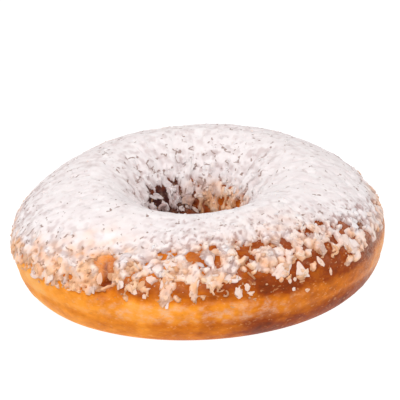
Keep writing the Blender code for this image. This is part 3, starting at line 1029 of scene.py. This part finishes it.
def clump_shape():
    """A knobbly clump, one unit across."""
    corners, triangles = ball(2)
    corners *= (1 + 0.8 * grain(corners, 0.40, RNG.uniform(0, 50)))[:, None]
    corners *= np.array((1.0, RNG.uniform(0.6, 0.9), RNG.uniform(0.3, 0.42)))
    return corners, triangles


# The loose coconut but for the crumbs: name, shape, density in the full coat, number of pieces, shortest and
# longest in millimetres, and the lift, steep and combed of scatter.
LOOSE_KINDS = (
    ("coconut_clumps", clump_shape, 0.02, 60, 1.2, 2.6, 0.05, 0.25, 0.0),
    ("coconut_chips", chip_shape, 0.12, 280, 1.0, 2.8, 0.02, 0.12, 0.7),
    ("coconut_shreds", shred_shape, 0.08, 180, 1.2, 3.4, 0.03, 0.12, 0.9),
    ("coconut_curls", curl_shape, 0.02, 45, 1.6, 3.4, 0.05, 0.15, 0.3),
)


def frames_on(upward, down, heading, tilt, roll):
    """Turns for pieces that lie on the ground: X along the heading from downhill, then tilted and rolled."""
    side = np.cross(upward, down)
    side /= np.linalg.norm(side, axis=1)[:, None]
    down = np.cross(side, upward)
    x = down * np.cos(heading)[:, None] + side * np.sin(heading)[:, None]
    y = np.cross(upward, x)
    x = x * np.cos(tilt)[:, None] + upward * np.sin(tilt)[:, None]
    y = y * np.cos(roll)[:, None] + np.cross(x, y) * np.sin(roll)[:, None]
    return np.stack((x, y, np.cross(x, y)), axis=-1)


def scatter(name, kind, ground, density, count, shortest, longest, lift, steep, combed, material):
    """Lays many pieces of one kind on the ground, as one mesh.

    lift is how high their middles stand, as a share of their length, and steep is how much they tilt. Both
    are less in the full coat. combed is the share of them that lies up and down the slope in the hole.
    """
    shapes = [kind() for _ in range(SHAPES_OF_A_KIND)]
    cell = ground.spots(density, count)
    place, upward, down = ground.place(*cell), ground.upward[cell], ground.down[cell]
    loose = fading(0.5, 1.0, ground.amount[cell])
    in_funnel = fading(16 * MM, 24 * MM, np.hypot(place[:, 0], place[:, 1]))
    spread = np.where(RNG.random(count) < combed * in_funnel, 0.35, np.pi)
    heading = RNG.uniform(-1, 1, count) * spread + np.pi * (RNG.random(count) < 0.5)
    lean = RNG.normal(0, steep, (2, count)) * (0.4 + 0.6 * loose)
    turns = frames_on(upward, down, heading, *lean)
    shortest, longest = shortest * MM, longest * MM
    size = shortest + (longest - shortest) * RNG.random(count) ** 2.4
    middles = place + upward * (size * (lift * loose - 0.05 * (1 - loose)))[:, None]
    tint = np.clip(ground.thin[cell] + RNG.normal(0, 0.12, count), 0, 1)
    # Each piece takes the painted shade of the bed where it lies.
    dusk = ground.shade[cell]
    own_shape = RNG.integers(0, len(shapes), count)
    parts = []
    for index, (shape, faces) in enumerate(shapes):
        mine = np.flatnonzero(own_shape == index)
        laid = np.einsum("pij,cj->pci", turns[mine], shape) * size[mine, None, None] + middles[mine, None]
        inside = np.all((laid > BOX_LOW) & (laid < BOX_HIGH), axis=(1, 2))
        laid, mine = laid[inside], mine[inside]
        firsts = np.arange(len(mine))[:, None, None] * len(shape)
        colours = [np.repeat(numbers[mine], len(shape)) for numbers in (tint, dusk)]
        parts.append((laid.reshape(-1, 3), (faces + firsts).reshape(-1, 3), *colours))
    coconut_piece(name, parts, material)


def lay_flakes(ground, material):
    """Lays the single flakes, as one mesh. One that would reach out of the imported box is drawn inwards."""
    radii, _, levels = ground.plain[0, :BED_STEPS].T
    flakes = [(*flake, FRINGE_FLAKE_DUSK, True) for flake in LAID_FLAKES]
    flakes += [(*flake, False) for flake in HOLE_FLAKES]
    parts = []
    for azimuth, height, length, width, heading, outline, thin, dusk, is_outer in flakes:
        cup = RNG.uniform(0.0, 0.25)
        shape, faces = flake_shape(OUTLINES[outline], thickness=0.36, rim=0.20, cup=cup, rounding=2)
        shape[:, 2] += 0.16 * grain(shape, 0.45, azimuth)
        shape[:, :2] *= (1 + 0.25 * grain(shape, 0.35, azimuth + 9.0))[:, None]
        shape = shape / np.array((np.ptp(shape[:, 0]), np.ptp(shape[:, 1]), 2.0))
        shape = shape * np.array((length, width, 0.5 * (length + width))) * MM
        row = round(azimuth / 360 * AROUND) % AROUND
        on_other_side = (radii > CREST_RADIUS) != is_outer
        column = np.argmin(np.abs(levels - height * MM) + 1.0 * on_other_side)
        cell = (np.array([row]), np.array([column]))
        lean = RNG.normal(0, 0.06, (2, 1))
        turn = frames_on(ground.upward[cell], ground.down[cell], np.array([math.radians(heading)]), *lean)[0]
        laid = shape @ turn.T + ground.seat[cell][0]
        over = np.maximum(laid.max(axis=0) - BOX_HIGH, 0.0) - np.maximum(BOX_LOW - laid.min(axis=0), 0.0)
        parts.append((laid - over, faces, np.full(len(shape), thin), np.full(len(shape), dusk)))
    coconut_piece("laid_flakes", parts, material)


def coconut_piece(name, parts, material):
    """A piece of loose coconut from parts, each with its corners, triangles, thinness and shade."""
    corners, triangles, thins, shades = zip(*parts)
    firsts = np.cumsum([0] + [len(part) for part in corners])
    triangles = [faces + first for faces, first in zip(triangles, firsts)]
    mesh = bpy.data.meshes.new(name)
    mesh.from_pydata(np.concatenate(corners).tolist(), [], np.concatenate(triangles).tolist())
    mesh.shade_smooth()
    piece = bpy.data.objects.new(name, mesh)
    bpy.context.scene.collection.objects.link(piece)
    write_attribute(piece, "thin", np.concatenate(thins))
    write_attribute(piece, "shade", np.concatenate(shades))
    finish_piece(piece, material)


# ---- the studio


def stand(name, data, place, turn):
    """Puts a camera or a light in its place and turns it."""
    thing = bpy.data.objects.new(name, data)
    bpy.context.scene.collection.objects.link(thing)
    thing.location = place
    thing.rotation_mode = "QUATERNION"
    thing.rotation_quaternion = turn
    return thing


def make_camera():
    """A camera at the photograph's angle and distance, moved sideways so that its frame sits as there."""
    data = bpy.data.cameras.new("camera")
    data.sensor_width = SENSOR_WIDTH
    data.lens = PIXELS_PER_METRE * CAMERA_DISTANCE * SENSOR_WIDTH / PHOTO_SIDE
    data.clip_start, data.clip_end = 0.02, 10.0
    level = Vector((0.0, -math.cos(CAMERA_ELEVATION), math.sin(CAMERA_ELEVATION)))
    turn = (-level).to_track_quat("-Z", "Y") @ Matrix.Rotation(-CAMERA_ROLL, 3, "Z").to_quaternion()
    right = (PHOTO_SIDE / 2 - AIM_PIXEL[0]) / PIXELS_PER_METRE
    up = (AIM_PIXEL[1] - PHOTO_SIDE / 2) / PIXELS_PER_METRE
    place = AIM + level * CAMERA_DISTANCE + turn @ Vector((right, up, 0.0))
    bpy.context.scene.camera = stand("camera", data, place, turn)


def make_light(name, place, size, power):
    """A square soft box that faces the doughnut."""
    data = bpy.data.lights.new(name, "AREA")
    data.size, data.energy = size, power
    stand(name, data, place, (AIM - place).to_track_quat("-Z", "Y"))


def floor_material():
    """A white table lit softly from below, except under the doughnut."""
    material, shader, add, where = new_material("white_floor")
    away = add("VectorMath", {0: where}, operation="LENGTH").outputs["Value"]
    glow = reading(add, away, 0.8 * BASE_OUTER_RADIUS, BASE_OUTER_RADIUS)
    fill(shader, {
        "Base Color": reading(add, glow, 0.0, 1.0, 0.4, 0.12),
        "Roughness": 0.9,
        "Specular IOR Level": 0.0,
        "Emission Color": (1.0, 1.0, 1.0),
        "Emission Strength": glow,
    })
    return material


def make_studio():
    """A white floor, a white room, a soft box at the upper left and a weak light at the right."""
    world = bpy.data.worlds.new("white_room")
    world.use_nodes = True
    fill(world.node_tree.nodes["Background"], {"Color": (1.0, 1.0, 1.0), "Strength": 0.50})
    bpy.context.scene.world = world
    make_light("soft_box", Vector((-0.22, -0.45, 0.80)), 0.5, 5.5)
    make_light("fill_light", Vector((0.60, -0.10, 0.30)), 0.4, 0.4)

    deselect()
    bpy.ops.mesh.primitive_plane_add(size=8.0)
    floor = bpy.context.object
    floor.name = "floor"
    floor.data.materials.append(floor_material())
    bpy.context.scene.view_settings.view_transform = "Standard"


# ---- putting it together

crust = crust_material()
bed_coconut = coconut_material("fine_coconut", 700.0)
loose_coconut = coconut_material("loose_coconut", 1400.0)

make_dough(crust)
bed = Bed()
bed.make(bed_coconut)

azimuths, _, heights, is_outer = polar(bed.plain)
fine_coat = fine_side(azimuths) * is_outer
calm = 1 - 0.9 * calm_side(azimuths) * is_outer
fringe = fading(0.75, 1.15, bed.amount)
coarse_fringe = fringe * (1 - 0.85 * fine_coat)
shown = smooth(0.48, 0.6, bed.presence) * calm
strays = 0.10 * is_outer * smooth(-3.5 * MM, 0.0, heights - coat_edge(azimuths)) * (1 - shown)
crumbs = shown * (0.12 + fringe - 0.6 * fringe * fine_coat) + strays

scatter("coconut_crumbs", crumb_shape, bed, crumbs, 1700, 0.35, 1.1, 0.06, 0.5, 0.0, loose_coconut)
for name, kind, in_coat, count, *settings in LOOSE_KINDS:
    scatter(name, kind, bed, shown * (in_coat + coarse_fringe), count, *settings, loose_coconut)
lay_flakes(bed, loose_coconut)

make_studio()
make_camera()
